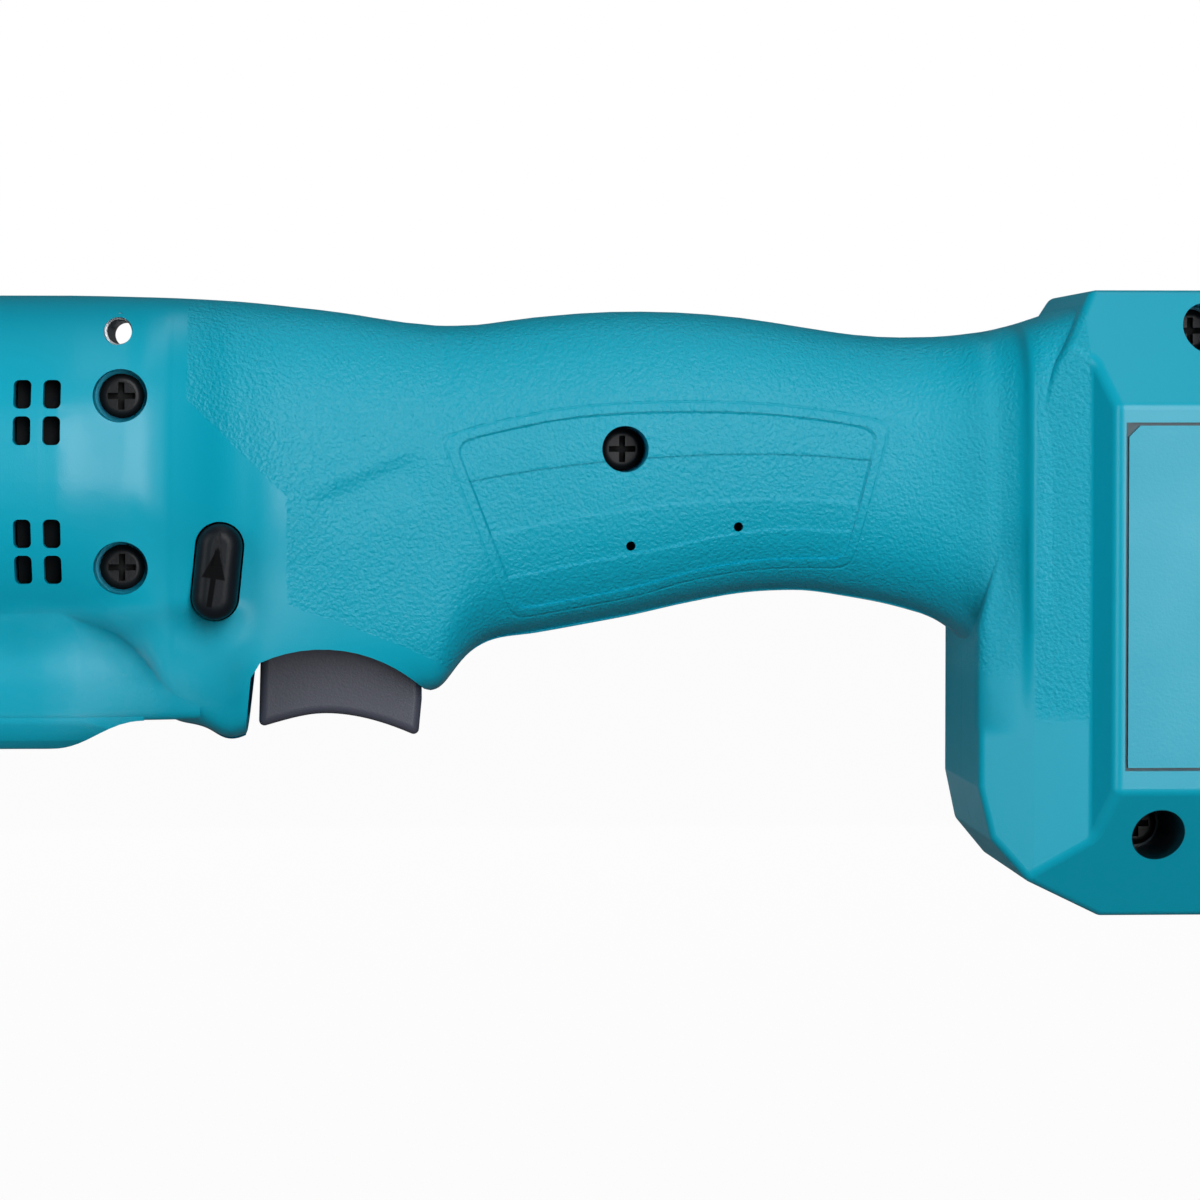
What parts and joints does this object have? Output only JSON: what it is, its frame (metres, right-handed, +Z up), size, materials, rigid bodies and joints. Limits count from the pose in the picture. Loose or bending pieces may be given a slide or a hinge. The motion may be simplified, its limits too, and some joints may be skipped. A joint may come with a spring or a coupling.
{
  "type": "cordless angle screwdriver",
  "caption": "Hand held cordless screwdriver with a right-angle square drive head, adjustable clutch, lamp, paddle trigger, reversing lever and slide-on battery.",
  "frame": {"origin": "centre of the square drive's end face, on the output axis", "axes": "+X back along the motor axis from the drive to the battery, +Z up with the trigger below, and -Y is the left side, which carries the screw heads"},
  "size_m": [0.4495, 0.075, 0.112],
  "materials": {
    "teal_plastic": "satin moulded teal, grained on the grip",
    "plate_teal": "satin light teal, bare",
    "trigger_grey": "satin grey",
    "lever_black": "satin black",
    "black_plastic": "fine matt black",
    "board_green": "coated circuit board",
    "holder_grey": "plain moulded grey",
    "clear_lens": "clear moulded lens",
    "screw_black": "black oxide steel",
    "bright_steel": "ground steel",
    "gear_steel": "machined gear steel",
    "spring_steel": "drawn wire",
    "lamination": "stacked sheet steel",
    "magnet": "plated magnet",
    "copper": "enamelled copper wire",
    "contact_brass": "plated contact",
    "cast_aluminium": "bead-blasted die casting",
    "nut_steel": "turned steel",
    "cell_wrap": "shrink sleeve"
  },
  "bodies": {
    "housing": {"housing_left": "teal_plastic", "housing_right": "teal_plastic", "housing_screws": "screw_black", "dust_screen": "black_plastic", "hanger_sleeve": "bright_steel", "name_plates": "plate_teal", "lamp_lens": "clear_lens", "lamp_board": "board_green", "switch_body": "black_plastic", "trigger_spring": "spring_steel", "stator_core": "lamination", "stator_coils": "copper", "sensor_board": "board_green", "motor_bearings": "bright_steel", "bearing_bracket": "black_plastic", "ring_gear": "gear_steel", "spindle_bearing": "bright_steel", "gear_case": "cast_aluminium", "union_nut": "nut_steel", "controller": "black_plastic", "terminal_block": "black_plastic", "terminal_blades": "contact_brass"},
    "rotor": {"rotor_core": "lamination", "rotor_magnets": "magnet", "rotor_shaft": "gear_steel", "fan": "black_plastic"},
    "first_carrier": {"carrier_first": "gear_steel"},
    "clutch_train": {"carrier_second": "gear_steel", "clutch_cam": "gear_steel", "clutch_balls": "bright_steel", "clutch_disc": "gear_steel", "clutch_spring": "spring_steel", "drive_spindle": "gear_steel"},
    "clutch_nut": {"adjusting_nut": "nut_steel"},
    "cover_ring": {"window_cover": "black_plastic"},
    "angle_head": {"head_housing": "cast_aluminium", "head_bearings": "bright_steel", "bearing_retainer": "nut_steel", "top_bush": "contact_brass"},
    "pinion": {"bevel_pinion": "gear_steel"},
    "output": {"output_spindle": "bright_steel", "bevel_wheel": "gear_steel"},
    "detent": {"detent_pin": "bright_steel"},
    "trigger": {"trigger": "trigger_grey", "switch_plunger": "black_plastic"},
    "lever": {"reverse_lever": "lever_black"},
    "battery": {"battery_case_front": "black_plastic", "battery_case_rear": "black_plastic", "battery_cells": "cell_wrap", "cell_holder": "holder_grey", "battery_board": "board_green", "battery_clips": "contact_brass", "latch_spring": "spring_steel"},
    "latch": {"latch_button": "lever_black"},
    "first_planet_1": {"planet_first_1": "gear_steel"},
    "second_planet_1": {"planet_second_1": "gear_steel"},
    "first_planet_2": {"planet_first_2": "gear_steel"},
    "second_planet_2": {"planet_second_2": "gear_steel"},
    "first_planet_3": {"planet_first_3": "gear_steel"},
    "second_planet_3": {"planet_second_3": "gear_steel"}
  },
  "joints": [
    {"name": "rotor_spin", "type": "hinge", "parent": "housing", "child": "rotor", "pos_m": [0, 0, 0.04], "axis": [1, 0, 0], "continuous": true},
    {"name": "first_carrier_spin", "type": "hinge", "parent": "housing", "child": "first_carrier", "pos_m": [0, 0, 0.04], "axis": [1, 0, 0], "continuous": true},
    {"name": "clutch_train_spin", "type": "hinge", "parent": "housing", "child": "clutch_train", "pos_m": [0, 0, 0.04], "axis": [1, 0, 0], "continuous": true},
    {"name": "pinion_spin", "type": "hinge", "parent": "angle_head", "child": "pinion", "pos_m": [0, 0, 0.04], "axis": [1, 0, 0], "continuous": true},
    {"name": "output_spin", "type": "hinge", "parent": "angle_head", "child": "output", "pos_m": [0, 0, 0], "axis": [0, 0, 1], "continuous": true},
    {"name": "first_planet_1_spin", "type": "hinge", "parent": "first_carrier", "child": "first_planet_1", "pos_m": [0, 0.01238, 0.04], "axis": [1, 0, 0], "continuous": true},
    {"name": "second_planet_1_spin", "type": "hinge", "parent": "clutch_train", "child": "second_planet_1", "pos_m": [0, 0.01238, 0.04], "axis": [1, 0, 0], "continuous": true},
    {"name": "first_planet_2_spin", "type": "hinge", "parent": "first_carrier", "child": "first_planet_2", "pos_m": [0, -0.00619, 0.05072], "axis": [1, 0, 0], "continuous": true},
    {"name": "second_planet_2_spin", "type": "hinge", "parent": "clutch_train", "child": "second_planet_2", "pos_m": [0, -0.00619, 0.05072], "axis": [1, 0, 0], "continuous": true},
    {"name": "first_planet_3_spin", "type": "hinge", "parent": "first_carrier", "child": "first_planet_3", "pos_m": [0, -0.00619, 0.02928], "axis": [1, 0, 0], "continuous": true},
    {"name": "second_planet_3_spin", "type": "hinge", "parent": "clutch_train", "child": "second_planet_3", "pos_m": [0, -0.00619, 0.02928], "axis": [1, 0, 0], "continuous": true},
    {"name": "head_swivel", "type": "hinge", "parent": "housing", "child": "angle_head", "pos_m": [0, 0, 0.04], "axis": [1, 0, 0], "range_deg": [-180, 180]},
    {"name": "clutch_nut_turn", "type": "hinge", "parent": "clutch_train", "child": "clutch_nut", "pos_m": [0, 0, 0.04], "axis": [1, 0, 0], "continuous": true},
    {"name": "cover_turn", "type": "hinge", "parent": "housing", "child": "cover_ring", "pos_m": [0, 0, 0.04], "axis": [1, 0, 0], "range_deg": [-90, 90]},
    {"name": "detent_press", "type": "slide", "parent": "output", "child": "detent", "axis": [1, 0, 0], "range_m": [0, 0.0009], "stiffness_N_per_m": 1500, "springref_m": -0.0015},
    {"name": "trigger_pull", "type": "slide", "parent": "housing", "child": "trigger", "axis": [0, 0, 1], "range_m": [0, 0.006], "stiffness_N_per_m": 700, "springref_m": -0.005, "deforming": ["trigger_spring"]},
    {"name": "reverse_slide", "type": "slide", "parent": "housing", "child": "lever", "axis": [0, 1, 0], "range_m": [0, 0.0056]},
    {"name": "battery_slide", "type": "slide", "parent": "housing", "child": "battery", "axis": [0, 0, -1], "range_m": [0, 0.1]},
    {"name": "latch_press", "type": "slide", "parent": "battery", "child": "latch", "axis": [1, 0, 0], "range_m": [0, 0.0036], "stiffness_N_per_m": 900, "springref_m": -0.003, "deforming": ["latch_spring"]}
  ],
  "couplings": [
    {"joint": "first_carrier_spin", "follows": "rotor_spin", "ratio": 0.22727},
    {"joint": "clutch_train_spin", "follows": "rotor_spin", "ratio": 0.051653},
    {"joint": "pinion_spin", "follows": "rotor_spin", "ratio": 0.051653},
    {"joint": "output_spin", "follows": "rotor_spin", "ratio": 0.034435},
    {"joint": "first_planet_1_spin", "follows": "rotor_spin", "ratio": -0.64394},
    {"joint": "second_planet_1_spin", "follows": "rotor_spin", "ratio": -0.14635},
    {"joint": "first_planet_2_spin", "follows": "rotor_spin", "ratio": -0.64394},
    {"joint": "second_planet_2_spin", "follows": "rotor_spin", "ratio": -0.14635},
    {"joint": "first_planet_3_spin", "follows": "rotor_spin", "ratio": -0.64394},
    {"joint": "second_planet_3_spin", "follows": "rotor_spin", "ratio": -0.14635}
  ]
}
